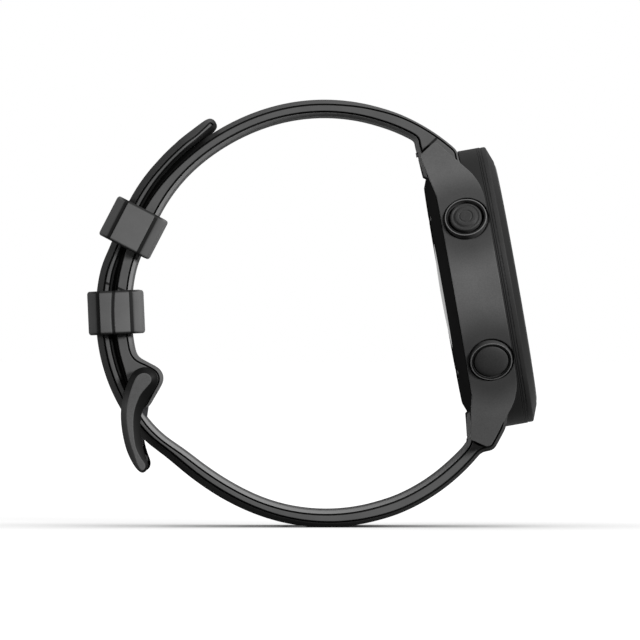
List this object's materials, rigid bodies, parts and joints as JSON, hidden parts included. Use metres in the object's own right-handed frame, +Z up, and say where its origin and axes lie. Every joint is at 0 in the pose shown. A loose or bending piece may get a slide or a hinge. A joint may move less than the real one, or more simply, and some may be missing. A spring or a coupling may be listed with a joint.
{
  "type": "gps running watch",
  "caption": "Round sports watch with side buttons, a raised bezel and a buckled silicone strap closed into a wrist loop.",
  "frame": {"origin": "middle of the watch's outline seen from above, on the surface that the buckled loop stands on", "axes": "+X out of the display side, away from the buckle; +Y across the strap, towards the wearer's 3 o'clock side; +Z up, from the loop's lowest point towards the 12 o'clock side"},
  "size_m": [0.0681, 0.0439, 0.0647],
  "materials": {
    "case_shell": "fine matte moulded polymer",
    "bezel": "matte moulded polymer with a satin edge",
    "lens": "polished",
    "sensor_window": "polished dark window",
    "dial_ring": "matte",
    "gaskets": "matte",
    "display": "dark reflective panel",
    "flex": "satin film",
    "boards": "satin solder mask",
    "cans": "satin",
    "antenna": "satin",
    "inner_frame": "matte",
    "battery": "satin foil",
    "motor": "satin",
    "rotor": "satin",
    "emitters": "clear resin",
    "gold": "polished",
    "strap": "matte silicone",
    "buckle": "matte moulded polymer",
    "steel": "satin",
    "buttons": "matte moulded polymer"
  },
  "bodies": {
    "case": {"battery": "battery", "bezel": "bezel", "button_switches": "cans", "buzzer": "motor", "charge_contacts": "gold", "contact_block": "inner_frame", "dial_ring": "dial_ring", "display_flex": "flex", "display_panel": "display", "fixed_keeper": "strap", "front_lens": "lens", "gps_antenna": "antenna", "inner_frame": "inner_frame", "left_lower_button_seal": "gaskets", "left_lower_button_spring": "steel", "left_upper_button_seal": "gaskets", "left_upper_button_spring": "steel", "lens_seal": "gaskets", "long_strap": "strap", "lower_bar_spring": "steel", "lower_strap_bar": "steel", "main_board": "boards", "mid_case": "case_shell", "motor_housing": "motor", "photodiodes": "emitters", "rear_cover": "case_shell", "rear_gasket": "gaskets", "rear_screws": "steel", "right_lower_button_seal": "gaskets", "right_lower_button_spring": "steel", "right_middle_button_seal": "gaskets", "right_middle_button_spring": "steel", "right_upper_button_seal": "gaskets", "right_upper_button_spring": "steel", "sensor_board": "boards", "sensor_flex": "flex", "sensor_leds": "emitters", "sensor_window": "sensor_window", "shield_cans": "cans", "short_strap": "strap", "upper_bar_spring": "steel", "upper_strap_bar": "steel"},
    "left_upper_button": {"left_upper_button": "buttons", "left_upper_button_clip": "steel"},
    "left_lower_button": {"left_lower_button": "buttons", "left_lower_button_clip": "steel"},
    "right_upper_button": {"right_upper_button": "buttons", "right_upper_button_clip": "steel"},
    "right_middle_button": {"right_middle_button": "buttons", "right_middle_button_clip": "steel"},
    "right_lower_button": {"right_lower_button": "buttons", "right_lower_button_clip": "steel"},
    "buckle_frame": {"buckle_frame": "buckle", "buckle_bar": "steel"},
    "buckle_tongue": {"buckle_tongue": "buckle"},
    "free_keeper": {"free_keeper": "strap"},
    "upper_release_pin": {"upper_release_pin": "steel"},
    "lower_release_pin": {"lower_release_pin": "steel"},
    "motor_rotor": {"motor_rotor": "rotor"}
  },
  "joints": [
    {"name": "left_upper_button_press", "type": "slide", "parent": "case", "child": "left_upper_button", "axis": [0.0873, 0.866, -0.4923], "range_m": [0, 0.0006], "stiffness_N_per_m": 1500, "springref_m": -0.0004, "deforming": ["left_upper_button_spring"]},
    {"name": "left_lower_button_press", "type": "slide", "parent": "case", "child": "left_lower_button", "axis": [-0.0873, 0.866, 0.4923], "range_m": [0, 0.0006], "stiffness_N_per_m": 1500, "springref_m": -0.0004, "deforming": ["left_lower_button_spring"]},
    {"name": "right_upper_button_press", "type": "slide", "parent": "case", "child": "right_upper_button", "axis": [0.0873, -0.866, -0.4923], "range_m": [0, 0.0006], "stiffness_N_per_m": 1500, "springref_m": -0.0004, "deforming": ["right_upper_button_spring"]},
    {"name": "right_middle_button_press", "type": "slide", "parent": "case", "child": "right_middle_button", "axis": [0, -1, 0], "range_m": [0, 0.0006], "stiffness_N_per_m": 1500, "springref_m": -0.0004, "deforming": ["right_middle_button_spring"]},
    {"name": "right_lower_button_press", "type": "slide", "parent": "case", "child": "right_lower_button", "axis": [-0.0873, -0.866, 0.4923], "range_m": [0, 0.0006], "stiffness_N_per_m": 1500, "springref_m": -0.0004, "deforming": ["right_lower_button_spring"]},
    {"name": "buckle_frame_swing", "type": "hinge", "parent": "case", "child": "buckle_frame", "pos_m": [-0.02469, 0, 0.02243], "axis": [0, -1, 0], "range_deg": [0, 7]},
    {"name": "buckle_tongue_swing", "type": "hinge", "parent": "case", "child": "buckle_tongue", "pos_m": [-0.02469, 0, 0.02243], "axis": [0, 1, 0], "range_deg": [0, 2]},
    {"name": "free_keeper_slide", "type": "hinge", "parent": "case", "child": "free_keeper", "pos_m": [0.00123, 0, 0.03274], "axis": [0, 1, 0], "range_deg": [-9.5, 18]},
    {"name": "upper_release_slide", "type": "slide", "parent": "case", "child": "upper_release_pin", "axis": [0, 1, 0], "range_m": [0, 0.0011], "stiffness_N_per_m": 400, "springref_m": -0.0008, "deforming": ["upper_bar_spring"]},
    {"name": "lower_release_slide", "type": "slide", "parent": "case", "child": "lower_release_pin", "axis": [0, 1, 0], "range_m": [0, 0.0011], "stiffness_N_per_m": 400, "springref_m": -0.0008, "deforming": ["lower_bar_spring"]},
    {"name": "motor_spin", "type": "hinge", "parent": "case", "child": "motor_rotor", "pos_m": [0.027, 0.0132, 0.03625], "axis": [0.9847, 0, 0.1745], "continuous": true}
  ]
}
